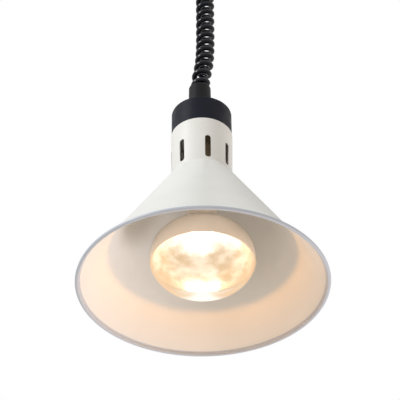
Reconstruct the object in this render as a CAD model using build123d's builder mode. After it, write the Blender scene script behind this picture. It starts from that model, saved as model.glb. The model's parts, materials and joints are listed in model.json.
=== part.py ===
"""Retractable heat lamp: a spun shade and reflector bulb, hung from a ceiling canopy on a curly cord."""

import math
import os

from build123d import *

os.makedirs("parts", exist_ok=True)

# Driving dimensions in millimetres. Z is up, and the origin is the middle of the ceiling bracket's top.
drop = 590.0  # ceiling to the shade's rim
lamp_x = -5.8  # the lamp hangs slightly to one side of the canopy

# Shade. Heights in the lamp are measured up from the rim's plane.
rim_radius = 145.0
bead_radius = 2.3
sheet = 1.2
cone_foot_radius = 137.9  # where the cone's straight side would meet the rim's plane
neck_foot_radius = 36.28
neck_foot = 159.8
neck_top_radius = 37.44
neck_top = 224.0
flare_start = 34.0
flange_hole_radius = 24.0
slot_length = 33.4
slot_width = 7.1
slot_middle = 180.1
slot_first = 11.5  # degrees from the front towards +X
slot_step = 44.0
slot_count = 8

# Cap and collars
cap_radius = 36.75
cap_top = 258.5
cap_wall = 1.5
collar_offset = -1.95  # the lamp's collar sits slightly off the lamp's axis
collar_foot_radius = 14.3
collar_tip_radius = 13.6
collar_length = 45.0
collar_bore = 12.5
collar_floor = 21.0
spigot_radius = 7.0
spigot_length = 17.0
sheath_radius = 3.3
clamp_screw_circle = 30.3

# Curly cord: the outer diameter of its coils
coil_radius = 12.1

# Bulb
bulb_radius = 62.0
bulb_widest = 42.0
face_height = 43.8
flank_height = 45.5
glass = 1.0

# Canopy
canopy_radius = 50.0
canopy_depth = 60.0

lead_radius = 0.9

lamp_xz = Plane(origin=(lamp_x, 0, -drop), x_dir=(1, 0, 0), z_dir=(0, -1, 0))
lamp_axis = Axis((lamp_x, 0, -drop), (0, 0, 1))
front = math.radians(-90)


def level(height):
    """A horizontal plane in the lamp, at a height above the rim's plane."""
    return Plane((lamp_x, 0, height - drop))


def in_lamp(x, y, height):
    return (lamp_x + x, y, height - drop)


def finish(part, name):
    part.part.label = name
    export_step(part.part, f"parts/{name}.step")


def turned(outline, plane=lamp_xz, axis=lamp_axis):
    """A solid of revolution from a closed outline of radius and height."""
    with BuildPart() as part:
        with BuildSketch(plane):
            with BuildLine():
                Polyline(*outline, close=True)
            make_face()
        revolve(axis=axis)
    return part


def routed(points, radius, radii):
    """A round section swept along straight runs that tangent arcs join."""
    with BuildPart() as part:
        with BuildLine():
            route = FilletPolyline(*points, radius=radii)
        with BuildSketch(Plane(origin=route @ 0, z_dir=route % 0)):
            Circle(radius)
        sweep()
    return part, route.length


def bend_radii(points):
    """The arc radius at each inner corner: 0.45 of the shorter run over the tangent of half the turn."""
    radii = []
    for before, corner, after in zip(points, points[1:], points[2:]):
        into = Vector(*corner) - Vector(*before)
        out = Vector(*after) - Vector(*corner)
        half_turn = math.radians(into.get_angle(out)) / 2
        radii.append(0.45 * min(into.length, out.length) / math.tan(half_turn))
    return radii


def cord(name, points, radius):
    """Builds and exports one cord, and prints its length and how tightly it bends."""
    radii = bend_radii(points)
    part, length = routed(points, radius, radii)
    tightest = min(radii) / (2 * radius)
    volume = part.part.volume / (math.pi * radius**2 * length)
    print(f"{name}: length {length:.1f}, tightest bend {tightest:.1f} diameters, volume ratio {volume:.3f}")
    finish(part, name)


# ---- Shade ----

cone_slope = (cone_foot_radius - neck_foot_radius) / neck_foot
cone_inset = sheet / 2 * math.hypot(1, cone_slope)
flare_top = (cone_foot_radius - cone_inset - cone_slope * flare_start, flare_start)
flare_foot = (rim_radius - 3.4, 2.9)
neck_corner = (neck_foot_radius - sheet / 2, neck_foot - sheet / 4)
neck_shoulder = (neck_top_radius - sheet / 2, neck_top - sheet / 2)

with BuildPart() as shade:
    with BuildSketch(lamp_xz):
        with BuildLine():
            TangentArc(flare_top, flare_foot, tangent=(cone_slope, -1))
            FilletPolyline(
                flare_top,
                neck_corner,
                neck_shoulder,
                (flange_hole_radius, neck_top - sheet / 2),
                radius=[3.5, 1.1],
            )
            offset(amount=sheet / 2, side=Side.BOTH)
        make_face()
        with Locations((rim_radius - bead_radius, bead_radius)):
            Circle(bead_radius)
    revolve(axis=lamp_axis)
    for step in range(slot_count):
        turn = front + math.radians(slot_first + slot_step * step)
        outward = (math.cos(turn), math.sin(turn), 0)
        with BuildSketch(Plane(in_lamp(0, 0, slot_middle), x_dir=(0, 0, 1), z_dir=outward)):
            SlotOverall(slot_length, slot_width)
        extrude(amount=45, mode=Mode.SUBTRACT)
    with BuildSketch(level(neck_top - 4)):
        with PolarLocations(clamp_screw_circle, 3, start_angle=30):
            Circle(2.2)
    extrude(amount=8, mode=Mode.SUBTRACT)
finish(shade, "shade")

# ---- Cap, with three threaded posts for the clamp screws ----

with BuildPart() as cap:
    with BuildSketch(level(neck_top)):
        Circle(cap_radius)
    extrude(amount=cap_top - neck_top)
    fillet(cap.edges().group_by(Axis.Z)[-1], 1.8)
    with BuildSketch(level(neck_top)):
        Circle(cap_radius - cap_wall)
    extrude(amount=cap_top - neck_top - cap_wall, mode=Mode.SUBTRACT)
    with BuildSketch(level(neck_top)):
        with PolarLocations(clamp_screw_circle, 3, start_angle=30):
            Circle(4.2)
    extrude(amount=cap_top - neck_top - cap_wall)
    with BuildSketch(level(neck_top)):
        with PolarLocations(clamp_screw_circle, 3, start_angle=30):
            Circle(2.05)
    extrude(amount=14, mode=Mode.SUBTRACT)
    with BuildSketch(level(cap_top - 4)):
        with Locations((collar_offset, 0)):
            Circle(spigot_radius + 0.15)
        with Locations((0, 25)):
            Rectangle(19.2, 13.2)
    extrude(amount=6, mode=Mode.SUBTRACT)
finish(cap, "cap")

# ---- Collars, their nuts and the straight ends of the cord's sheath ----

collar_outline = [
    (sheath_radius + 0.1, -spigot_length),
    (spigot_radius - 0.6, -spigot_length),
    (spigot_radius, 0.6 - spigot_length),
    (spigot_radius, 0),
    (collar_foot_radius - 0.4, 0),
    (collar_foot_radius, 0.4),
    (collar_tip_radius, collar_length - 0.9),
    (collar_tip_radius - 0.3, collar_length - 0.3),
    (collar_tip_radius - 0.7, collar_length),
    (collar_bore + 0.2, collar_length),
    (collar_bore, collar_length - 0.3),
    (collar_bore, collar_floor),
    (sheath_radius + 0.1, collar_floor),
]


def collar_set(prefix, seat, up, sheet_thickness):
    """One collar with its lock nut and the cord's straight end, seated on a face and pointing up or down."""
    plane = Plane(origin=seat, x_dir=(1, 0, 0), z_dir=(0, -up, 0))
    axis = Axis(seat, (0, 0, 1))
    finish(turned(collar_outline, plane, axis), f"{prefix}_collar")
    with BuildPart() as nut:
        with BuildSketch(Plane((seat[0], seat[1], seat[2] - up * sheet_thickness), z_dir=(0, 0, -up))):
            RegularPolygon(12.7, 6)
            Circle(spigot_radius + 0.05, mode=Mode.SUBTRACT)
        extrude(amount=5)
        chamfer(nut.edges().filter_by(GeomType.CIRCLE), 0.4)
    finish(nut, f"{prefix}_collar_nut")
    with BuildPart() as end:
        with BuildSketch(Plane((seat[0], seat[1], seat[2] + up * collar_floor), z_dir=(0, 0, -up))):
            Circle(sheath_radius)
        extrude(amount=collar_floor + spigot_length)
    finish(end, f"{prefix}_cord_end")


lamp_seat = in_lamp(collar_offset, 0, cap_top)
canopy_seat = (0, 0, -canopy_depth)
collar_set("lamp", lamp_seat, 1, cap_wall)
collar_set("canopy", canopy_seat, -1, sheet)

# ---- Curly cord: one tube of its outer diameter, from one collar's floor to the other's ----

coil_route = [
    in_lamp(collar_offset, 0, cap_top + collar_floor),
    in_lamp(collar_offset, 0, 314),
    in_lamp(5.4, 0, 350),
    in_lamp(-lamp_x, 0, 425),
    (0, 0, -canopy_depth - collar_floor),
]
cord("curly_cord", coil_route, coil_radius)

# ---- Lampholder bracket: a pressed dish under the neck's flange ----

with BuildPart() as lampholder_bracket:
    with BuildSketch(lamp_xz):
        with BuildLine():
            FilletPolyline((5.5, 212.8), (24.8, 212.8), (24.8, 222.0), (34.6, 222.0), radius=1.6)
            offset(amount=0.8, side=Side.BOTH)
        make_face()
    revolve(axis=lamp_axis)
    with BuildSketch(level(210)):
        with PolarLocations(clamp_screw_circle, 3, start_angle=30):
            Circle(2.2)
        with Locations((15, 0), (-15, 0)):
            Circle(1.9)
        with Locations((7.5, -13)):
            Circle(1.95)
        with PolarLocations(19.3, 2, start_angle=229.8):
            Circle(2.0)
    extrude(amount=16, mode=Mode.SUBTRACT)
finish(lampholder_bracket, "lampholder_bracket")


def pan_screws(spots, face, head_radius, head_height, shank_radius, shank_length, head_up):
    """Pan head screws with a cross recess. face is the height that the heads bear on."""
    side = 1 if head_up else -1
    with BuildPart() as screws:
        for spot in spots:
            foot = Plane((spot[0], spot[1], face), z_dir=(0, 0, side))
            with BuildSketch(foot):
                Circle(head_radius)
            extrude(amount=head_height)
            with BuildSketch(foot):
                Circle(shank_radius)
            extrude(amount=-shank_length)
        rims = screws.edges().filter_by(GeomType.CIRCLE).filter_by(
            lambda edge: abs(edge.radius - head_radius) < 0.01
            and abs(edge.center().Z - face - side * head_height) < 0.01
        )
        fillet(rims, head_height * 0.45)
        recess = face + side * (head_height + 0.1)
        for spot in spots:
            with BuildSketch(Plane((spot[0], spot[1], recess), z_dir=(0, 0, side))):
                Rectangle(head_radius * 1.1, 0.7)
                Rectangle(0.7, head_radius * 1.1)
            extrude(amount=-head_height * 0.5, mode=Mode.SUBTRACT)
    return screws


clamp_spots = []
for degrees in (30, 150, 270):
    x = clamp_screw_circle * math.cos(math.radians(degrees))
    y = clamp_screw_circle * math.sin(math.radians(degrees))
    clamp_spots.append((lamp_x + x, y))
finish(pan_screws(clamp_spots, 221.2 - drop, 3.6, 2.6, 2.0, 14, False), "shade_screws")
holder_spots = [(lamp_x - 15, 0), (lamp_x + 15, 0)]
finish(pan_screws(holder_spots, 213.6 - drop, 3.0, 2.1, 1.75, 11, True), "lampholder_screws")
finish(pan_screws([(lamp_x + 7.5, -13)], 213.6 - drop, 3.2, 2.4, 1.9, 5, True), "lamp_earth_screw")

# ---- Lampholder: ceramic body, screw shell, centre contact and two side terminals ----

pocket_turns = (math.radians(229.8), math.radians(49.8))
with BuildPart() as lampholder_body:
    with BuildSketch(lamp_xz):
        with BuildLine():
            Polyline(
                (0, 184),
                (14.6, 184),
                (14.6, 157.2),
                (15.4, 156),
                (21.6, 156),
                (22.5, 157),
                (22.5, 163),
                (21.9, 163.6),
                (21.9, 165.4),
                (22.5, 166),
                (22.5, 196),
                (21, 198),
                (21, 211.2),
                (20.2, 212),
                (0, 212),
                close=True,
            )
        make_face()
    revolve(axis=lamp_axis)
    for turn in pocket_turns:
        outward = (math.cos(turn), math.sin(turn), 0)
        with BuildSketch(Plane(in_lamp(0, 0, 197), x_dir=(0, 0, 1), z_dir=outward).offset(16.4)):
            Rectangle(32, 9.4)
        extrude(amount=10, mode=Mode.SUBTRACT)
    with BuildSketch(level(212)):
        with Locations((15, 0), (-15, 0)):
            Circle(1.8)
        with Locations((7.5, -13)):
            Circle(2.3)
    extrude(amount=-10.5, mode=Mode.SUBTRACT)
finish(lampholder_body, "lampholder_body")

thread_depth = 0.45
shell_outline = [(14.4, 158.5), (14.4, 180.5)]
for turn in range(6):
    shell_outline.append((13.6 + thread_depth, 180.0 - 3.6 * turn))
    shell_outline.append((13.6, 178.2 - 3.6 * turn))
shell_outline.append((13.6 + thread_depth, 158.5))
finish(turned(shell_outline), "lampholder_shell")

with BuildPart() as lampholder_contact:
    with BuildSketch(lamp_xz.offset(-2.5)):
        with BuildLine():
            FilletPolyline((-9, 183.6), (4, 183.6), (7.5, 181.6), (-4, 180.9), radius=[2.0, 0.6])
            offset(amount=0.3, side=Side.BOTH)
        make_face()
    extrude(amount=5)
finish(lampholder_contact, "lampholder_contact")

with BuildPart() as lampholder_terminals:
    for turn in pocket_turns:
        outward = (math.cos(turn), math.sin(turn), 0)
        base = Plane(in_lamp(0, 0, 187), x_dir=(0, 0, 1), z_dir=outward).offset(16.4)
        with BuildSketch(base):
            Rectangle(9, 8)
        extrude(amount=4.6)
        with BuildSketch(base.offset(4.6)):
            Circle(2.9)
        extrude(amount=1.7)
        with BuildSketch(base.offset(6.4)):
            Rectangle(7, 0.8)
        extrude(amount=-0.9, mode=Mode.SUBTRACT)
finish(lampholder_terminals, "lampholder_terminals")

# ---- Rocker switch in the cap's top, behind the collar ----


def rocker_plane(half_width, tilt=0.0):
    """An upright plane across the rocker's axis, half_width behind the switch's middle, facing the front."""
    origin = in_lamp(0, 25 + half_width, cap_top - 1.5)
    return Plane(origin, x_dir=(math.cos(tilt), 0, -math.sin(tilt)), z_dir=(0, -1, 0))


with BuildPart() as switch_housing:
    with BuildSketch(level(cap_top)):
        with Locations((0, 25)):
            Rectangle(21, 15)
    extrude(amount=2)
    fillet(switch_housing.edges().filter_by(Axis.Z), 1.2)
    fillet(switch_housing.edges().group_by(Axis.Z)[-1], 0.6)
    with BuildSketch(level(cap_top)):
        with Locations((0, 25)):
            Rectangle(18.8, 12.8)
    extrude(amount=-17.5)
    with BuildSketch(level(cap_top + 3)):
        with Locations((0, 25)):
            Rectangle(17, 10.8)
    extrude(amount=-11.5, mode=Mode.SUBTRACT)
    with BuildSketch(rocker_plane(6.4)):
        Circle(1.2)
    extrude(amount=12.8, mode=Mode.SUBTRACT)
finish(switch_housing, "switch_housing")

with BuildPart() as switch_rocker:
    with BuildSketch(rocker_plane(5.1, math.radians(8))) as side_view:
        with BuildLine():
            Polyline((-7.4, -3), (7.4, -3), (7.4, 5.3), (0, 3.2), (-7.4, 5.3), close=True)
        make_face()
        fillet(side_view.vertices(), 0.5)
    extrude(amount=10.2)
    with BuildSketch(rocker_plane(6.0)):
        Circle(1.0)
    extrude(amount=12)
finish(switch_rocker, "switch_rocker")

with BuildPart() as switch_terminals:
    with BuildSketch(level(241)):
        with Locations((-4.8, 25), (4.8, 25)):
            Rectangle(0.8, 4.8)
    extrude(amount=-8)
finish(switch_terminals, "switch_terminals")

# ---- Leads in the cap ----

sheath_end = cap_top - spigot_length
cord(
    "lamp_neutral_lead",
    [in_lamp(-3.4, -1.2, sheath_end - 0.9), in_lamp(-12.46, -14.74, 221), in_lamp(-12.46, -14.74, 191.6)],
    lead_radius,
)
cord(
    "lamp_switched_lead",
    [in_lamp(4.8, 23.6, 232.0), in_lamp(12.46, 14.74, 222), in_lamp(12.46, 14.74, 191.6)],
    lead_radius,
)
cord(
    "lamp_live_lead",
    [
        in_lamp(-1.6, 1.8, sheath_end - 0.9),
        in_lamp(-2.2, 8, 222),
        in_lamp(-4.2, 19.5, 220),
        in_lamp(-4.8, 23.6, 232.0),
    ],
    lead_radius,
)
cord(
    "lamp_earth_lead",
    [in_lamp(-0.2, -1.5, sheath_end - 0.9), in_lamp(7.5, -13, 230), in_lamp(7.5, -13, 216.1)],
    lead_radius,
)

# ---- Bulb ----


middle = (0, bulb_widest)
with BuildPart() as bulb_glass:
    with BuildSketch(lamp_xz):
        with BuildLine():
            for inset in (0, glass):
                EllipticalCenterArc(middle, bulb_radius - inset, face_height - inset, 270, arc_size=90)
                flank = EllipticalCenterArc(middle, bulb_radius - inset, flank_height - inset, 0, arc_size=62)
                Spline(
                    flank @ 1,
                    (20.6 - inset, 98),
                    (19.2 - inset, 118),
                    (17.6 - inset, 134),
                    (12.2 - inset, 150),
                    (12.0 - inset, 158),
                    tangents=(flank % 1, (0, 1)),
                )
            Line((12.0 - glass, 158), (12.0, 158))
            Line((0, bulb_widest - face_height), (0, bulb_widest - face_height + glass))
        make_face()
    revolve(axis=lamp_axis)
finish(bulb_glass, "bulb_glass")

with BuildPart() as bulb_reflector:
    with BuildSketch(lamp_xz):
        with BuildLine():
            ends = []
            for inset in (1.3, 1.8):
                brim = EllipticalCenterArc(middle, bulb_radius - inset, face_height - inset, 349.5, arc_size=10.5)
                bowl = EllipticalCenterArc(middle, bulb_radius - inset, flank_height - inset, 0, arc_size=62)
                neck = Spline(
                    bowl @ 1,
                    (20.2 - inset, 98),
                    (18.8 - inset, 118),
                    (17.2 - inset, 134),
                    tangents=(bowl % 1, (-0.2, 1)),
                )
                ends.append((brim @ 0, neck @ 1))
            Line(ends[0][0], ends[1][0])
            Line(ends[0][1], ends[1][1])
        make_face()
    revolve(axis=lamp_axis)
finish(bulb_reflector, "bulb_reflector")

base_outline = [(12.35, 150), (12.35, 173.2), (8.0, 174.6), (8.0, 175.4), (12.6, 174.4)]
for turn in range(6):
    base_outline.append((13.2, 172.2 - 3.6 * turn))
    base_outline.append((12.75, 170.4 - 3.6 * turn))
base_outline.append((12.75, 150))
finish(turned(base_outline), "bulb_base")
finish(turned([(0, 174.2), (7.9, 174.2), (7.9, 175.6), (5.0, 178.0), (0, 178.0)]), "bulb_insulator")
finish(turned([(0, 178.05), (4.6, 178.05), (4.2, 179.4), (2.6, 180.2), (0, 180.3)]), "bulb_contact")
stem_outline = [(0, 152), (9.5, 152), (7.0, 149), (3.6, 141), (3.4, 112), (2.2, 98), (0, 97)]
finish(turned(stem_outline), "bulb_stem")

filament_height = 72.0
filament_circle = 14.0
with BuildPart() as bulb_supports:
    for side in (-1, 1):
        with BuildLine():
            wire = FilletPolyline(
                in_lamp(side * 1.5, 0, 96.8),
                in_lamp(side * 2.5, 0, 90),
                in_lamp(side * filament_circle, 0, filament_height + 0.9),
                radius=4,
            )
        with BuildSketch(Plane(origin=wire @ 0, z_dir=wire % 0)):
            Circle(0.6)
        sweep(path=wire)
        with BuildLine():
            hook_end = side * (filament_circle - 0.4)
            hook = Line(in_lamp(0, side * 1.2, 96.8), in_lamp(0, hook_end, filament_height + 1.6))
        with BuildSketch(Plane(origin=hook @ 0, z_dir=hook % 0)):
            Circle(0.35)
        sweep(path=hook)
finish(bulb_supports, "bulb_supports")

with BuildPart() as bulb_filament:
    for start in (4, 184):
        with BuildLine(level(filament_height)):
            arc = CenterArc((0, 0), filament_circle, start, 172)
        with BuildSketch(Plane(origin=arc @ 0, z_dir=arc % 0)):
            Circle(0.7)
        sweep(path=arc)
finish(bulb_filament, "bulb_filament")

# ---- Ceiling bracket, canopy and their screws ----

ear_inside = 45.1
ear_height = -9.0
with BuildPart() as ceiling_bracket:
    with BuildSketch(Plane.XY):
        Rectangle(2 * (ear_inside + 1.6), 24)
    extrude(amount=-1.6)
    for side in (-1, 1):
        with BuildSketch(Plane.XY):
            with Locations((side * (ear_inside + 0.8), 0)):
                Rectangle(1.6, 16)
        extrude(amount=-16)
    fillet(ceiling_bracket.edges().filter_by(Axis.Z), 0.7)
    with BuildSketch(Plane.XY.offset(1)):
        Circle(11)
        with Locations((-35, 0), (35, 0)):
            Circle(2.6)
        with Locations((22, 0)):
            Circle(1.95)
    extrude(amount=-5, mode=Mode.SUBTRACT)
    with BuildSketch(Plane.YZ.offset(-60)):
        with Locations((0, ear_height)):
            Circle(2.1)
    extrude(amount=120, mode=Mode.SUBTRACT)
finish(ceiling_bracket, "ceiling_bracket")

with BuildPart() as canopy:
    with BuildSketch(Plane.XY.offset(-0.3)):
        Circle(canopy_radius)
    extrude(amount=0.3 - canopy_depth)
    fillet(canopy.edges().group_by(Axis.Z)[0], 5)
    offset(amount=-sheet, openings=canopy.faces().sort_by(Axis.Z)[-1])
    with BuildSketch(Plane.XY.offset(-canopy_depth - 1)):
        Circle(spigot_radius + 0.15)
    extrude(amount=5, mode=Mode.SUBTRACT)
    with BuildSketch(Plane.YZ.offset(-60)):
        with Locations((0, ear_height)):
            Circle(2.2)
    extrude(amount=120, mode=Mode.SUBTRACT)
finish(canopy, "canopy")

with BuildPart() as canopy_screws:
    for side in (-1, 1):
        face = Plane((side * (canopy_radius + 0.05), 0, ear_height), x_dir=(0, 1, 0), z_dir=(side, 0, 0))
        with BuildSketch(face):
            Circle(3.8)
        extrude(amount=2.4)
        with BuildSketch(face):
            Circle(1.95)
        extrude(amount=-9)
        with BuildSketch(face.offset(2.5)):
            Rectangle(4.4, 0.8)
            Rectangle(0.8, 4.4)
        extrude(amount=-1.3, mode=Mode.SUBTRACT)
finish(canopy_screws, "canopy_screws")

# ---- Terminal block, earth screw and leads in the canopy ----

ways = (-10, 0, 10)
tube_height = -11.0
with BuildPart() as terminal_block:
    with BuildSketch(Plane.XY.offset(-1.6)):
        with Locations((-20, 0)):
            Rectangle(12, 30)
    extrude(amount=-15)
    chamfer(terminal_block.edges().group_by(Axis.Z)[0], 1.0)
    with BuildSketch(Plane.YZ.offset(-27)):
        for way in ways:
            with Locations((way, tube_height)):
                Circle(2.4)
    extrude(amount=14, mode=Mode.SUBTRACT)
    with BuildSketch(Plane.XY.offset(-18)):
        for way in ways:
            with Locations((-20, way)):
                Circle(1.8)
    extrude(amount=7, mode=Mode.SUBTRACT)
finish(terminal_block, "terminal_block")

with BuildPart() as terminal_screws:
    with BuildSketch(Plane.YZ.offset(-25.5)):
        for way in ways:
            with Locations((way, tube_height)):
                Circle(2.3)
    extrude(amount=11)
    with BuildSketch(Plane.XY.offset(-16)):
        for way in ways:
            with Locations((-20, way)):
                Circle(1.6)
    extrude(amount=4.5)
    with BuildSketch(Plane.YZ.offset(-26)):
        for way in ways:
            with Locations((way, tube_height)):
                Circle(1.25)
    extrude(amount=4.5, mode=Mode.SUBTRACT)
    with BuildSketch(Plane.XY.offset(-16.1)):
        for way in ways:
            with Locations((-20, way)):
                Rectangle(2.8, 0.6)
    extrude(amount=0.9, mode=Mode.SUBTRACT)
finish(terminal_screws, "terminal_screws")
finish(pan_screws([(22, 0)], -1.6, 3.4, 2.4, 1.9, 1.6, False), "canopy_earth_screw")

sheath_top = -canopy_depth + spigot_length
cord(
    "canopy_live_lead",
    [(-0.8, -1.6, sheath_top + 0.9), (-1.5, -7, -20), (-13.9, -10, tube_height)],
    lead_radius,
)
cord(
    "canopy_neutral_lead",
    [(-1.6, 0.4, sheath_top + 0.9), (-1.0, 0.4, -21), (-13.9, 0, tube_height)],
    lead_radius,
)
cord(
    "canopy_earth_lead",
    [(1.4, 0.8, sheath_top + 0.9), (22, 0, -26), (22, 0, -4.1)],
    lead_radius,
)
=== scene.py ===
"""Looks for a retractable heat lamp: a white shade, a black cap and a curly cord up to a ceiling canopy."""

import json
import math

import bpy
from mathutils import Matrix, Vector


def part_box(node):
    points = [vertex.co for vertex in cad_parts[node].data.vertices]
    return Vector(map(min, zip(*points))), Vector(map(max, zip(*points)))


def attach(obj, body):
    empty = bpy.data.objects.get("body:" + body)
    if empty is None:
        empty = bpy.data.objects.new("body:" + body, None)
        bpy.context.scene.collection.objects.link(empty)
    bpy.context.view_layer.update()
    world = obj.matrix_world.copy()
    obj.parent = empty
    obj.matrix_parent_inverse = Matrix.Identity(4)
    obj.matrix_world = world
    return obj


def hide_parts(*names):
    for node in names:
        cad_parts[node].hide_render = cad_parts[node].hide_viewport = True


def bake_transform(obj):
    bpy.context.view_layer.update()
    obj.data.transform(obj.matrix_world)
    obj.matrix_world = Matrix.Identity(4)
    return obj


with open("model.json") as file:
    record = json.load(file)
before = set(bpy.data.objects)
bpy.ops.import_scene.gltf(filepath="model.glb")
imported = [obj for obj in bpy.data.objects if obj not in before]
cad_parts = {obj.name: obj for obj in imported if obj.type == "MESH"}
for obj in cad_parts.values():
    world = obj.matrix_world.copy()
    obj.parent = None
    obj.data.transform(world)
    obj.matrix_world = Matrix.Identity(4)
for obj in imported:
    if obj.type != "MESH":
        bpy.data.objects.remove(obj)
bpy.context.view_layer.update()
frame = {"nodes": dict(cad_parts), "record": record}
nodes = frame["nodes"]

MM = 0.001
LAMP_X = -5.8  # the lamp's axis, in millimetres from the ceiling bracket's middle
DROP = 590.0  # from the ceiling down to the plane of the shade's rim


def in_lamp(x, y, height):
    """A point from the lamp's axis and the rim's plane in millimetres, as metres in the shared frame."""
    return Vector((LAMP_X + x, y, height - DROP)) * MM


def under_ceiling(x, y, z):
    return Vector((x, y, z)) * MM


def rise(height):
    """The Z in metres of a height in millimetres above the rim's plane."""
    return (height - DROP) * MM


# ---- Camera ----


def aimed(right, up, location):
    """The matrix of a camera or light that looks along -Z of its own axes."""
    turn = Matrix((right, up, right.cross(up))).transposed().to_4x4()
    return Matrix.Translation(location) @ turn


CAMERA_PLACE = Vector((-0.00847, -1.47727, -1.64169))
CAMERA_CLIMB = math.radians(38.569)  # it looks up at the lamp
CAMERA_ROLL = math.radians(-0.412)
CAMERA_LENS = 144.0


def make_camera():
    data = bpy.data.cameras.new("camera")
    data.sensor_width = 36.0
    data.lens = CAMERA_LENS
    data.clip_start = 0.05
    data.clip_end = 60.0
    camera = bpy.data.objects.new("camera", data)
    bpy.context.scene.collection.objects.link(camera)
    level = Vector((1, 0, 0))
    upright = Vector((0, -math.sin(CAMERA_CLIMB), math.cos(CAMERA_CLIMB)))
    right = math.cos(CAMERA_ROLL) * level + math.sin(CAMERA_ROLL) * upright
    up = -math.sin(CAMERA_ROLL) * level + math.cos(CAMERA_ROLL) * upright
    camera.matrix_world = aimed(right, up, CAMERA_PLACE)
    bpy.context.scene.camera = camera


make_camera()

# ---- Materials ----


class Graph:
    """A material's node tree with short ways to add nodes."""

    def __init__(self, name):
        self.material = bpy.data.materials.new(name)
        self.material.use_nodes = True
        self.tree = self.material.node_tree
        self.tree.nodes.clear()
        self.output = self.tree.nodes.new("ShaderNodeOutputMaterial")
        self.place = self.tree.nodes.new("ShaderNodeTexCoord").outputs["Object"]

    def add(self, kind, **inputs):
        node = self.tree.nodes.new(kind)
        for key, value in inputs.items():
            socket = node.inputs[key.replace("_", " ")]
            if isinstance(value, bpy.types.NodeSocket):
                self.tree.links.new(value, socket)
            else:
                socket.default_value = value
        return node

    def stretched(self, scale):
        return self.add("ShaderNodeMapping", Vector=self.place, Scale=scale).outputs["Vector"]

    def noise(self, scale, detail=3.0, roughness=0.55, stretch=None):
        where = self.place if stretch is None else self.stretched(stretch)
        return self.add("ShaderNodeTexNoise", Vector=where, Scale=scale, Detail=detail,
                        Roughness=roughness).outputs["Fac"]

    def ranged(self, value, low, high, to_low=0.0, to_high=1.0):
        """A value eased from one range into another."""
        node = self.add("ShaderNodeMapRange", Value=value, From_Min=low, From_Max=high, To_Min=to_low,
                        To_Max=to_high)
        node.interpolation_type = "SMOOTHSTEP"
        return node.outputs["Result"]

    def clouds(self, scale, detail=4.0, roughness=0.55, stretch=None):
        """Noise spread out to run from 0 to 1."""
        return self.ranged(self.noise(scale, detail, roughness, stretch), 0.3, 0.7)

    def maths(self, operation, *values):
        node = self.tree.nodes.new("ShaderNodeMath")
        node.operation = operation
        for socket, value in zip(node.inputs, values):
            if isinstance(value, bpy.types.NodeSocket):
                self.tree.links.new(value, socket)
            else:
                socket.default_value = value
        return node.outputs[0]

    def mixed(self, factor, first, second):
        node = self.tree.nodes.new("ShaderNodeMix")
        node.data_type = "RGBA"
        self.tree.links.new(factor, node.inputs[0])
        for socket, value in ((node.inputs[6], first), (node.inputs[7], second)):
            if isinstance(value, bpy.types.NodeSocket):
                self.tree.links.new(value, socket)
            else:
                socket.default_value = (*value, 1.0)
        return node.outputs[2]

    def blended(self, factor, first, second):
        node = self.tree.nodes.new("ShaderNodeMixShader")
        for socket, value in zip(node.inputs, (factor, first, second)):
            self.tree.links.new(value, socket)
        return node.outputs[0]

    def along(self, axis):
        """The object's own X, Y or Z at the point."""
        return self.add("ShaderNodeSeparateXYZ", Vector=self.place).outputs[axis]

    def turn_about_lamp(self):
        """The angle round the lamp's axis, from +X."""
        across = self.maths("SUBTRACT", self.along("X"), LAMP_X * MM)
        return self.maths("ARCTAN2", self.along("Y"), across)

    def bump(self, height, strength, distance):
        node = self.add("ShaderNodeBump", Height=height, Strength=strength, Distance=distance)
        return node.outputs["Normal"]

    def finish(self, shader):
        self.tree.links.new(shader, self.output.inputs["Surface"])
        return self.material


def surface(name, colour, other, rough, metallic=0.0, mottle=30.0, grain=900.0, depth=2e-5, strength=0.35,
            swing=0.07, stretch=None, specks=None, painted_shade_band=None, **fixed):
    """A solid finish: two close colours mottled together, a grain in relief and a roughness that wanders.
    specks holds their noise's scale, its threshold and a colour, and the shade band a Z and the colour of
    the painted shade below it."""
    graph = Graph(name)
    base = graph.mixed(graph.clouds(mottle), colour, other)
    if specks is not None:
        speck_scale, threshold, speck_colour = specks
        dots = graph.ranged(graph.noise(speck_scale, 1.0), threshold, threshold + 0.05)
        base = graph.mixed(dots, base, speck_colour)
    # Below the band's Z the colour turns to painted shade.
    if painted_shade_band is not None:
        edge, shade_band_colour = painted_shade_band
        below = graph.ranged(graph.along("Z"), edge - 0.4 * MM, edge + 0.4 * MM, 1.0, 0.0)
        base = graph.mixed(below, base, shade_band_colour)
    relief = graph.noise(grain, 2.0, stretch=stretch)
    uneven = graph.noise(mottle * 2.3, 3.0, stretch=stretch)
    shader = graph.add("ShaderNodeBsdfPrincipled", Base_Color=base, Metallic=metallic,
                       Roughness=graph.ranged(uneven, 0.3, 0.7, rough - swing, rough + swing),
                       Normal=graph.bump(relief, strength, depth), **fixed)
    return graph.finish(shader.outputs["BSDF"])


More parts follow.
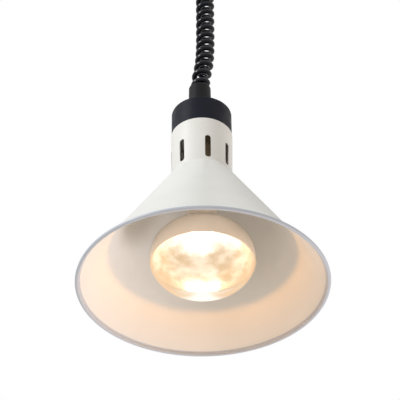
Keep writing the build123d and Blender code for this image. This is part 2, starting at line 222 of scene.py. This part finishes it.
def lit_face(graph, slant, through, brim_z):
    """Adds the light that catches in the glass below the reflector's brim. It is strongest where the glass
    is seen at a slant and just under the brim at the back, where it is also whitest. It casts no shadow."""
    height = graph.along("Z")
    face = graph.ranged(height, brim_z - MM, brim_z + MM, 1.0, 0.0)
    back = graph.maths("SINE", graph.turn_about_lamp())
    strip = graph.maths("MULTIPLY", graph.ranged(height, brim_z - 12 * MM, brim_z - MM, 0.0, 0.95),
                        graph.ranged(back, 0.0, 0.4))
    glow_spread = graph.maths("MAXIMUM", graph.ranged(slant, 0.42, 0.85, 0.03, 0.93), strip)
    shadow_ray = graph.add("ShaderNodeLightPath").outputs["Is Shadow Ray"]
    unshadowed = graph.maths("SUBTRACT", 1.0, shadow_ray)
    # Painted glow: emission that stands in for the filament's light caught in the glass, whitest at the
    # back as a painted highlight.
    painted_glow = graph.maths("MULTIPLY", graph.maths("MULTIPLY", glow_spread, face), unshadowed)
    peach = graph.mixed(graph.clouds(40.0), (1.0, 0.64, 0.36), (1.0, 0.74, 0.48))
    painted_glow_colour = graph.mixed(graph.ranged(back, 0.70, 0.97), peach, (1.3, 1.24, 1.12))
    lit = graph.add("ShaderNodeEmission", Color=painted_glow_colour, Strength=0.97).outputs[0]
    return graph.blended(painted_glow, through, lit)


def clear_glass(name, brim_z=None):
    """Thin clear glass with faint smears of dust, which shines more at its edges."""
    graph = Graph(name)
    smears = graph.ranged(graph.noise(26.0, 5.0, 0.6), 0.35, 0.75, 0.03, 0.12)
    ripple = graph.bump(graph.noise(60.0, 2.0), 0.1, 2e-4)
    slant = graph.add("ShaderNodeLayerWeight", Blend=0.5).outputs["Facing"]
    through = graph.add("ShaderNodeBsdfTransparent", Color=(0.98, 0.97, 0.95, 1.0)).outputs[0]
    if brim_z is not None:
        through = lit_face(graph, slant, through, brim_z)
    shine = graph.add("ShaderNodeBsdfGlossy", Color=(1.0, 1.0, 1.0, 1.0), Roughness=smears, Normal=ripple)
    edge = graph.maths("MULTIPLY_ADD", graph.maths("POWER", slant, 5.0), 0.45, 0.04)
    return graph.finish(graph.blended(edge, through, shine.outputs[0]))


def glowing(name, colour, other, power, scale):
    """Hot wire that gives its own light, a little hotter in some turns than in others."""
    graph = Graph(name)
    hot = graph.mixed(graph.clouds(scale, 2.0), colour, other)
    shader = graph.add("ShaderNodeEmission", Color=hot, Strength=power)
    return graph.finish(shader.outputs[0])


def hot_mirror():
    """The silvered bowl round a burning filament, with the filament's light painted into it as glow: peach
    at its brim, pale above it and white deep inside. A painted white reflection lies low at the back, with
    smaller ones round the bowl."""
    graph = Graph("bulb_mirror")
    sway = graph.ranged(graph.noise(34.0, 3.0, 0.6), 0.25, 0.75, -6.0 * MM, 6.0 * MM)
    level = graph.maths("ADD", graph.along("Z"), sway)
    turn = graph.turn_about_lamp()
    petals = graph.maths("SINE", graph.maths("MULTIPLY", turn, 5.0))
    once_round = graph.maths("MULTIPLY", graph.maths("SINE", turn), 0.9)
    lobes = graph.maths("MULTIPLY_ADD", petals, 0.35, once_round)
    ragged = graph.maths("MULTIPLY_ADD", graph.noise(30.0, 3.0, 0.6), 1.6, -0.8)
    painted_reflection_patches = graph.ranged(graph.maths("ADD", lobes, ragged), 0.45, 1.15)
    low = graph.ranged(level, rise(48.0), rise(62.0), 1.0, 0.0)
    deep = graph.ranged(level, rise(68.0), rise(80.0))
    white = graph.maths("MAXIMUM", deep, graph.maths("MULTIPLY", low, painted_reflection_patches))
    streaks = graph.clouds(48.0, 2.5, 0.5, stretch=(1.0, 1.0, 2.0))
    brim = graph.mixed(streaks, (0.18, 0.095, 0.042), (0.30, 0.185, 0.10))
    pale = graph.mixed(streaks, (0.46, 0.32, 0.19), (0.68, 0.58, 0.46))
    warm = graph.mixed(graph.ranged(level, rise(42.0), rise(60.0)), brim, pale)
    # The emission colour is painted glow: warm light at the brim and white painted reflections of the
    # filament.
    light = graph.mixed(white, warm, (1.0, 0.93, 0.82))
    shader = graph.add("ShaderNodeBsdfPrincipled", Base_Color=(0.52, 0.46, 0.38, 1.0), Metallic=1.0,
                       Roughness=graph.ranged(graph.noise(50.0, 3.0), 0.3, 0.7, 0.16, 0.26),
                       Normal=graph.bump(graph.noise(90.0, 2.0), 0.2, 2e-4), Emission_Color=light,
                       Emission_Strength=1.5)
    return graph.finish(shader.outputs["BSDF"])


def steel(name, colour, rough, stretch):
    lighter = tuple(min(1.0, c * 1.12) for c in colour)
    return surface(name, colour, lighter, rough, metallic=1.0, mottle=70.0, grain=500.0, depth=1.2e-5,
                   strength=0.3, swing=0.08, stretch=stretch)


finishes = {
    # shade_paint is cool grey up to 4.4 mm above the rim: painted shade on the underside of the rolled
    # bead.
    "shade_paint": surface("shade_paint", (0.785, 0.80, 0.78), (0.815, 0.83, 0.815), 0.40, mottle=14.0,
                           grain=420.0, depth=6e-5, strength=0.22, swing=0.05,
                           painted_shade_band=(rise(4.4), (0.52, 0.58, 0.66)), Coat_Weight=0.15, Coat_Roughness=0.3),
    "cap_paint": surface("cap_paint", (0.003, 0.005, 0.014), (0.005, 0.007, 0.019), 0.45, mottle=40.0,
                         grain=700.0, depth=6e-5, strength=0.4, Specular_IOR_Level=0.22),
    "collar_plastic": surface("collar_plastic", (0.007, 0.007, 0.009), (0.010, 0.010, 0.013), 0.46,
                              mottle=60.0, grain=1300.0, depth=3e-5, strength=0.4, Specular_IOR_Level=0.2),
    "cord_sheath": surface("cord_sheath", (0.002, 0.003, 0.008), (0.003, 0.004, 0.011), 0.14, mottle=90.0,
                           grain=1500.0, depth=1e-5, strength=0.15, swing=0.04, Specular_IOR_Level=0.36,
                           Coat_Weight=0.35, Coat_Roughness=0.06),
    "nut_steel": steel("nut_steel", (0.56, 0.56, 0.57), 0.30, (1.0, 1.0, 12.0)),
    "screw_steel": steel("screw_steel", (0.62, 0.61, 0.58), 0.26, (6.0, 6.0, 1.0)),
    "bracket_steel": steel("bracket_steel", (0.50, 0.51, 0.52), 0.36, (1.0, 14.0, 1.0)),
    # The ceramic's dim tan is set to how dark the lampholder looks through the shade's slots, so it holds
    # painted shade from inside the neck.
    "ceramic": surface("ceramic", (0.22, 0.175, 0.115), (0.30, 0.245, 0.17), 0.20, mottle=35.0, grain=260.0,
                       depth=5e-5, strength=0.25, specks=(850.0, 0.66, (0.12, 0.09, 0.06)), Coat_Weight=0.5,
                       Coat_Roughness=0.08),
    "brass": steel("brass", (0.78, 0.56, 0.24), 0.28, (1.0, 1.0, 9.0)),
    "switch_plastic": surface("switch_plastic", (0.010, 0.010, 0.011), (0.015, 0.015, 0.016), 0.34,
                              mottle=70.0, grain=1600.0, depth=2e-5, strength=0.35),
    "insulation_brown": surface("insulation_brown", (0.10, 0.040, 0.016), (0.13, 0.052, 0.022), 0.42,
                                mottle=120.0, grain=1500.0, depth=2e-5),
    "insulation_blue": surface("insulation_blue", (0.012, 0.075, 0.30), (0.018, 0.095, 0.36), 0.42,
                               mottle=120.0, grain=1500.0, depth=2e-5),
    "insulation_green": surface("insulation_green", (0.03, 0.22, 0.05), (0.55, 0.52, 0.03), 0.42,
                                mottle=55.0, grain=1500.0, depth=2e-5),
    "block_nylon": surface("block_nylon", (0.68, 0.67, 0.62), (0.74, 0.73, 0.68), 0.44, mottle=50.0,
                           grain=900.0, depth=3e-5, Subsurface_Weight=0.1, Subsurface_Scale=0.002),
    "bulb_glass": clear_glass("bulb_glass", rise(34.0)),
    "bulb_mirror": hot_mirror(),
    # The flank's faint warm emission is painted glow: it brightens the satin coating as the bulb's light
    # leaking through it would.
    "bulb_flank": surface("bulb_flank", (0.78, 0.73, 0.67), (0.84, 0.79, 0.73), 0.40, metallic=0.1,
                          mottle=22.0, grain=120.0, depth=8e-5, strength=0.2, swing=0.06,
                          Emission_Color=(1.0, 0.78, 0.62, 1.0), Emission_Strength=0.11),
    "bulb_base_metal": steel("bulb_base_metal", (0.80, 0.78, 0.74), 0.22, (1.0, 1.0, 10.0)),
    "vitrite": surface("vitrite", (0.012, 0.010, 0.012), (0.03, 0.022, 0.03), 0.12, mottle=160.0,
                       grain=500.0, depth=4e-5, Coat_Weight=0.6, Coat_Roughness=0.05),
    "solder": steel("solder", (0.66, 0.66, 0.65), 0.34, (3.0, 3.0, 3.0)),
    "stem_glass": clear_glass("stem_glass"),
    "support_wire": steel("support_wire", (0.45, 0.44, 0.43), 0.35, (4.0, 4.0, 1.0)),
    "filament": glowing("filament", (1.0, 0.66, 0.36), (1.0, 0.78, 0.52), 60.0, 300.0),
    "canopy_paint": surface("canopy_paint", (0.006, 0.007, 0.011), (0.009, 0.010, 0.015), 0.44, mottle=40.0,
                            grain=700.0, depth=6e-5, strength=0.4),
}
slot_of = {part["node"]: part["material_slot"] for part in frame["record"]["subparts"]}
for node, slot in slot_of.items():
    mesh = nodes[node].data
    mesh.materials.clear()
    mesh.materials.append(finishes[slot])


def placed(piece, slot, body, replaced):
    """Gives a new piece its finish and the body that it moves with, and hides the CAD node that it stands
    for.
    """
    if piece.name not in bpy.context.scene.collection.objects:
        bpy.context.scene.collection.objects.link(piece)
    if not piece.data.materials:
        piece.data.materials.append(finishes[slot])
    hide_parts(replaced)
    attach(piece, body)


# ---- Cords ----


def spline_through(name, points, width):
    """A cord's own line: an open NURBS spline whose control points are the route's."""
    curve = bpy.data.curves.new(name, "CURVE")
    curve.dimensions = "3D"
    curve.resolution_u = 24
    spline = curve.splines.new("NURBS")
    spline.points.add(len(points) - 1)
    for control, point in zip(spline.points, points):
        control.co = (*point, 1.0)
    spline.order_u = 3
    spline.use_endpoint_u = True
    curve.bevel_depth = width / 2
    curve.bevel_resolution = 6
    curve.use_fill_caps = True
    return curve


def read_line(points):
    """The points along the NURBS spline of a route, read from Blender."""
    guide = bpy.data.objects.new("guide", spline_through("guide", points, 0.0))
    bpy.context.scene.collection.objects.link(guide)
    bpy.context.view_layer.update()
    mesh = bpy.data.meshes.new_from_object(guide)
    line = [v.co.copy() for v in mesh.vertices]
    bpy.data.objects.remove(guide)
    return line


def at_length(line, marks, distance):
    """The point and the direction at a distance along a line, whose points' own distances are marks."""
    i = 0
    while i < len(marks) - 2 and marks[i + 1] < distance:
        i += 1
    share = (distance - marks[i]) / (marks[i + 1] - marks[i])
    return line[i].lerp(line[i + 1], share), (line[i + 1] - line[i]).normalized()


def lengths_along(line):
    marks = [0.0]
    for a, b in zip(line, line[1:]):
        marks.append(marks[-1] + (b - a).length)
    return marks


def helix_along(line, radius_at, pitch_at, first_turn, side, step):
    """Points that wind round a line. radius_at and pitch_at give both from the distance along it."""
    marks = lengths_along(line)
    points, distance, turn = [], 0.0, first_turn
    while distance < marks[-1]:
        centre, ahead = at_length(line, marks, distance)
        across = (side - ahead * side.dot(ahead)).normalized()
        third = ahead.cross(across)
        reach = radius_at(distance, marks[-1])
        points.append(centre + reach * (math.cos(turn) * across + math.sin(turn) * third))
        turn += 2 * math.pi * step
        distance += pitch_at(distance, marks[-1]) * step
    points[-1] = line[-1].copy()
    return points


def wire_mesh(name, points, width, material, sides=12):
    """A wire of round section: its centreline is the mesh, and geometry nodes give it its width,
    so the section stays round when the line is stretched."""
    mesh = bpy.data.meshes.new(name)
    mesh.from_pydata([tuple(p) for p in points], [(i, i + 1) for i in range(len(points) - 1)], [])
    mesh.materials.append(material)
    piece = bpy.data.objects.new(name, mesh)
    bpy.context.scene.collection.objects.link(piece)
    tree = bpy.data.node_groups.new(name + "_section", "GeometryNodeTree")
    tree.interface.new_socket("Geometry", in_out="INPUT", socket_type="NodeSocketGeometry")
    tree.interface.new_socket("Geometry", in_out="OUTPUT", socket_type="NodeSocketGeometry")
    start = tree.nodes.new("NodeGroupInput")
    end = tree.nodes.new("NodeGroupOutput")
    to_curve = tree.nodes.new("GeometryNodeMeshToCurve")
    circle = tree.nodes.new("GeometryNodeCurvePrimitiveCircle")
    circle.inputs["Resolution"].default_value = sides
    circle.inputs["Radius"].default_value = width / 2
    sweep = tree.nodes.new("GeometryNodeCurveToMesh")
    sweep.inputs["Fill Caps"].default_value = True
    paint = tree.nodes.new("GeometryNodeSetMaterial")
    paint.inputs["Material"].default_value = material
    smooth = tree.nodes.new("GeometryNodeSetShadeSmooth")
    tree.links.new(start.outputs[0], to_curve.inputs["Mesh"])
    tree.links.new(to_curve.outputs[0], sweep.inputs["Curve"])
    tree.links.new(circle.outputs[0], sweep.inputs["Profile Curve"])
    tree.links.new(sweep.outputs[0], smooth.inputs["Geometry"])
    tree.links.new(smooth.outputs[0], paint.inputs["Geometry"])
    tree.links.new(paint.outputs[0], end.inputs[0])
    piece.modifiers.new("section", "NODES").node_group = tree
    return piece


CORD_WIDTH = 6.9 * MM
COIL_REACH = 8.65 * MM  # from the coil's middle to the middle of the cord
COIL_OPENING = 16 * MM  # the length over which the coil opens at each end
COIL_PITCH = 14.0 * MM
COIL_FIRST_TURN = math.radians(180.0)
COIL_STEP = 1 / 40  # of a turn
coil_route = [
    in_lamp(-1.95, 0, 279.5),
    in_lamp(-1.95, 0, 314),
    in_lamp(5.4, 0, 350),
    under_ceiling(0, 0, -165),
    under_ceiling(0, 0, -81),
]


def coil_reach(distance, whole):
    """The coil opens out of the straight cord inside each collar's cup."""
    near = min(distance, whole - distance) / COIL_OPENING
    near = max(0.0, min(1.0, near))
    return COIL_REACH * near * near * (3 - 2 * near)


def swell(distance, middle, spread):
    """1 at a place along the coil, falling to 0 round it."""
    return math.exp(-(((distance - middle) / spread) ** 2))


def coil_pitch(distance, whole):
    """Loose turns, a little closer together near the bend and wider at the collar."""
    closer = 1.9 * MM * swell(distance, 92 * MM, 25 * MM)
    wider = 2.2 * MM * swell(distance, 42 * MM, 9 * MM)
    return COIL_PITCH - closer + wider


coil_middle = read_line(coil_route)
coil_line = helix_along(coil_middle, coil_reach, coil_pitch, COIL_FIRST_TURN, Vector((1, 0, 0)), COIL_STEP)
coil = wire_mesh("curly_cord_coil", coil_line, CORD_WIDTH, finishes["cord_sheath"], 16)
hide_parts("curly_cord")
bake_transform(coil)

LEAD_WIDTH = 1.8 * MM
leads = {
    "lamp_neutral_lead": (
        "lamp", "insulation_blue", 0.054,
        [in_lamp(-3.4, -1.2, 240.6), in_lamp(-12.46, -14.74, 221), in_lamp(-12.46, -14.74, 191.6)]),
    "lamp_switched_lead": (
        "lamp", "insulation_brown", 0.045,
        [in_lamp(4.8, 23.6, 232), in_lamp(12.46, 14.74, 222), in_lamp(12.46, 14.74, 191.6)]),
    "lamp_live_lead": (
        "lamp", "insulation_brown", 0.041,
        [in_lamp(-1.6, 1.8, 240.6), in_lamp(-2.2, 8, 222), in_lamp(-4.2, 19.5, 220),
         in_lamp(-4.8, 23.6, 232)]),
    "lamp_earth_lead": (
        "lamp", "insulation_green", 0.0304,
        [in_lamp(-0.2, -1.5, 240.6), in_lamp(7.5, -13, 230), in_lamp(7.5, -13, 216.1)]),
    "canopy_live_lead": (
        "ceiling", "insulation_brown", 0.0374,
        [under_ceiling(-0.8, -1.6, -42.1), under_ceiling(-1.5, -7, -20), under_ceiling(-13.9, -10, -11)]),
    "canopy_neutral_lead": (
        "ceiling", "insulation_blue", 0.0363,
        [under_ceiling(-1.6, 0.4, -42.1), under_ceiling(-1.0, 0.4, -21), under_ceiling(-13.9, 0, -11)]),
    "canopy_earth_lead": (
        "ceiling", "insulation_green", 0.0467,
        [under_ceiling(1.4, 0.8, -42.1), under_ceiling(22, 0, -26), under_ceiling(22, 0, -4.1)]),
}
for name, (body, slot, length, points) in leads.items():
    wire = bpy.data.objects.new(name + "_wire", spline_through(name + "_wire", points, LEAD_WIDTH))
    placed(wire, slot, body, name)

# ---- Screw threads ----


def closed_rings(rows, steps):
    """The faces between rings of points, each ring joined to the next and the last to the first."""
    faces = []
    for row in range(rows):
        after = (row + 1) % rows
        for step in range(steps):
            ahead = (step + 1) % steps
            faces.append((row * steps + step, row * steps + ahead,
                          after * steps + ahead, after * steps + step))
    return faces


THREAD_PITCH = 3.63 * MM  # of an E27 base
THREAD_ROW = 0.35 * MM


def threaded_tube(name, node, outer, inner, depth, steps=48):
    """A thin shell from a node's lowest point to its highest, with a rolled thread that runs out at
    both ends."""
    low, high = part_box(node)
    middle = (low + high) / 2
    rows = int(round((high.z - low.z) / THREAD_ROW))
    walls = []
    for radius in (outer, inner):
        wall = []
        for row in range(rows + 1):
            share = row / rows
            z = low.z + share * (high.z - low.z)
            run_out = max(0.0, min(1.0, 5 * min(share, 1 - share)))
            ring = []
            for step in range(steps):
                angle = 2 * math.pi * step / steps
                wave = math.sin(2 * math.pi * z / THREAD_PITCH - angle)
                reach = radius - depth * run_out * (0.5 - 0.5 * wave)
                ring.append((middle.x + reach * math.cos(angle), middle.y + reach * math.sin(angle), z))
            wall.append(ring)
        walls.append(wall)
    rings = walls[0] + list(reversed(walls[1]))
    mesh = bpy.data.meshes.new(name)
    mesh.from_pydata([p for ring in rings for p in ring], [], closed_rings(len(rings), steps))
    mesh.shade_smooth()
    return bpy.data.objects.new(name, mesh)


bulb_screw_base = threaded_tube("bulb_screw_base", "bulb_base",
                                outer=13.1 * MM, inner=12.7 * MM, depth=0.55 * MM)
placed(bulb_screw_base, "bulb_base_metal", "bulb", "bulb_base")
screw_shell = threaded_tube("lampholder_screw_shell", "lampholder_shell",
                            outer=14.3 * MM, inner=13.9 * MM, depth=0.3 * MM)
placed(screw_shell, "brass", "lamp", "lampholder_shell")

# ---- Bulb's reflector: silvered inside, satin outside ----


BULB_RADIUS = 62.0
BULB_WIDEST = 42.0  # the height of the bulb's widest ring
FACE_DEPTH = 43.8  # of the half ellipse below it
FLANK_DEPTH = 45.5  # and of the one above it
BRIM_ANGLE = -10.5  # where the coating starts
FLANK_ANGLE = 62.0  # where the bowl turns into the neck
OUTER_INSET = 1.3  # of the coating's outer face inside the glass's outer face
INNER_INSET = 1.8
NECK_FOOT = (20.2, 98.0)  # the glass's radius and height where the neck's curve ends
NECK_RINGS = ((18.8, 118.0), (17.2, 134.0))


def lathe(name, outline, materials, steps=144):
    """A closed ring turned about the lamp's axis. outline holds radius, height and the number of the
    material of the face that follows."""
    verts, paints = [], []
    for radius, height, paint in outline:
        for step in range(steps):
            angle = 2 * math.pi * step / steps
            verts.append(tuple(in_lamp(radius * math.cos(angle), radius * math.sin(angle), height)))
            paints.append(paint)
    mesh = bpy.data.meshes.new(name)
    mesh.from_pydata(verts, [], closed_rings(len(outline), steps))
    mesh.shade_smooth()
    for material in materials:
        mesh.materials.append(material)
    mesh.polygons.foreach_set("material_index", paints)
    return bpy.data.objects.new(name, mesh)


def bowl_point(inset, degrees):
    """A point of the bulb's bowl, an inset inside the glass, at an angle above the widest ring."""
    depth = FLANK_DEPTH if degrees > 0 else FACE_DEPTH
    turn = math.radians(degrees)
    return (BULB_RADIUS - inset) * math.cos(turn), BULB_WIDEST + (depth - inset) * math.sin(turn)


def bowl_side(inset, bowl_steps=42, neck_steps=12):
    """The coating's outline from its brim over the bowl and up the bulb's neck."""
    spread = FLANK_ANGLE - BRIM_ANGLE
    side = [bowl_point(inset, BRIM_ANGLE + spread * i / bowl_steps) for i in range(bowl_steps + 1)]
    start, before = Vector(side[-1]), Vector(side[-2])
    end = Vector((NECK_FOOT[0] - inset, NECK_FOOT[1]))
    reach = (end - start).length
    leaving, arriving = (start - before).normalized() * reach, Vector((-0.12, 1.0)).normalized() * reach
    for i in range(1, neck_steps + 1):
        t = i / neck_steps
        side.append((2 * t**3 - 3 * t**2 + 1) * start + (t**3 - 2 * t**2 + t) * leaving
                    + (3 * t**2 - 2 * t**3) * end + (t**3 - t**2) * arriving)
    return side + [(radius - inset, height) for radius, height in NECK_RINGS]


FLANK_PAINT, MIRROR_PAINT = 0, 1
bowl = [(*point, FLANK_PAINT) for point in bowl_side(OUTER_INSET)]
bowl += [(*point, MIRROR_PAINT) for point in reversed(bowl_side(INNER_INSET))]
bulb_bowl = lathe("bulb_bowl", bowl, [finishes["bulb_flank"], finishes["bulb_mirror"]])
placed(bulb_bowl, "bulb_mirror", "bulb", "bulb_reflector")

# ---- Filament: two arcs of fine coiled wire ----

low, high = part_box("bulb_filament")
ring_middle = (low + high) / 2
ring_radius = (high.x - low.x) / 2 - 0.7 * MM
FILAMENT_REACH = 0.55 * MM
FILAMENT_PITCH = 0.55 * MM
FILAMENT_WIRE = 0.26 * MM
ARC_STARTS = (4, 184)  # degrees
ARC_STEP = 2
ARC_POINTS = 87


def filament_reach(distance, whole):
    return FILAMENT_REACH


def filament_pitch(distance, whole):
    return FILAMENT_PITCH


for number, start in enumerate(ARC_STARTS):
    arc = []
    for step in range(ARC_POINTS):
        angle = math.radians(start + ARC_STEP * step)
        arc.append(ring_middle + Vector((math.cos(angle), math.sin(angle), 0)) * ring_radius)
    wound = helix_along(arc, filament_reach, filament_pitch, 0.0, Vector((0, 0, 1)), 1 / 10)
    wire = wire_mesh(f"filament_coil_{number + 1}", wound[:-1], FILAMENT_WIRE, finishes["filament"], 6)
    placed(wire, "filament", "bulb", "bulb_filament")

# ---- Lights, background and floor ----


def area_light(name, place, target, size, power, colour):
    data = bpy.data.lights.new(name, "AREA")
    data.shape = "DISK"
    data.size = size
    data.energy = power
    data.color = colour
    lamp = bpy.data.objects.new(name, data)
    bpy.context.scene.collection.objects.link(lamp)
    ahead = (Vector(target) - Vector(place)).normalized()
    right = ahead.cross(Vector((0, 0, 1))).normalized()
    lamp.matrix_world = aimed(right, right.cross(ahead), Vector(place))
    lamp.visible_camera = False
    return lamp


lamp_middle = in_lamp(0, 0, 120)
area_light("key", (-2.0, -1.3, 0.5), lamp_middle, size=1.0, power=33.5, colour=(0.96, 0.99, 1.0))
low_card = area_light("low_card", (1.32, 0.77, -2.05), lamp_middle, size=0.9, power=23.0,
                      colour=(1.0, 0.91, 0.92))
low_card.visible_glossy = False

GLOW_HEIGHT = 25.4  # below the reflector's brim, whose shadow falls on the shade's inside
glow = bpy.data.lights.new("bulb_glow", "POINT")
glow.energy = 0.27
glow.color = (1.0, 0.44, 0.09)
glow.shadow_soft_size = 6 * MM
glow_light = bpy.data.objects.new("bulb_glow", glow)
bpy.context.scene.collection.objects.link(glow_light)
glow_light.location = in_lamp(0, 0, GLOW_HEIGHT)
glow_light.visible_camera = False
glow_light.visible_glossy = False
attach(glow_light, "bulb")

WORLD_RIGHT = (1.0, 0.96, 0.90)
WORLD_BELOW, WORLD_ABOVE = 0.20, 0.81


def make_world():
    """White behind the object. What lights it is softer, warmer on the right and dimmer from below."""
    world = bpy.data.worlds.new("studio")
    bpy.context.scene.world = world
    world.use_nodes = True
    tree = world.node_tree
    tree.nodes.clear()
    new, link = tree.nodes.new, tree.links.new
    place = new("ShaderNodeTexCoord")
    parts = new("ShaderNodeSeparateXYZ")
    link(place.outputs["Generated"], parts.inputs[0])
    sideways = new("ShaderNodeMapRange")
    sideways.inputs["From Min"].default_value = -1.0
    link(parts.outputs["X"], sideways.inputs["Value"])
    tint = new("ShaderNodeMix")
    tint.data_type = "RGBA"
    tint.inputs[6].default_value = (1.0, 1.0, 1.0, 1.0)
    tint.inputs[7].default_value = (*WORLD_RIGHT, 1.0)
    link(sideways.outputs[0], tint.inputs[0])
    upwards = new("ShaderNodeMapRange")
    upwards.inputs["From Min"].default_value = -1.0
    upwards.inputs["To Min"].default_value = WORLD_BELOW
    upwards.inputs["To Max"].default_value = WORLD_ABOVE
    link(parts.outputs["Z"], upwards.inputs["Value"])
    soft = new("ShaderNodeBackground")
    link(tint.outputs[2], soft.inputs["Color"])
    link(upwards.outputs[0], soft.inputs["Strength"])
    white = new("ShaderNodeBackground")
    white.inputs["Color"].default_value = (1.0, 1.0, 1.0, 1.0)
    seen = new("ShaderNodeLightPath")
    mix = new("ShaderNodeMixShader")
    link(seen.outputs["Is Camera Ray"], mix.inputs[0])
    link(soft.outputs[0], mix.inputs[1])
    link(white.outputs[0], mix.inputs[2])
    link(mix.outputs[0], new("ShaderNodeOutputWorld").inputs["Surface"])


make_world()

FLOOR_Z = -3.2
FLOOR_REACH = 30
corners = [(-FLOOR_REACH, -FLOOR_REACH, FLOOR_Z), (FLOOR_REACH, -FLOOR_REACH, FLOOR_Z),
           (FLOOR_REACH, FLOOR_REACH, FLOOR_Z), (-FLOOR_REACH, FLOOR_REACH, FLOOR_Z)]
floor_mesh = bpy.data.meshes.new("floor")
floor_mesh.from_pydata(corners, [], [(0, 1, 2, 3)])
floor_mesh.materials.append(surface("floor_paint", (0.92, 0.80, 0.71), (0.94, 0.82, 0.73), 0.7, mottle=0.8,
                                    grain=30.0, depth=1e-3, strength=0.1))
floor = bpy.data.objects.new("floor", floor_mesh)
bpy.context.scene.collection.objects.link(floor)
floor.visible_glossy = False

scene = bpy.context.scene
scene.view_settings.view_transform = "Standard"
scene.view_settings.look = "None"
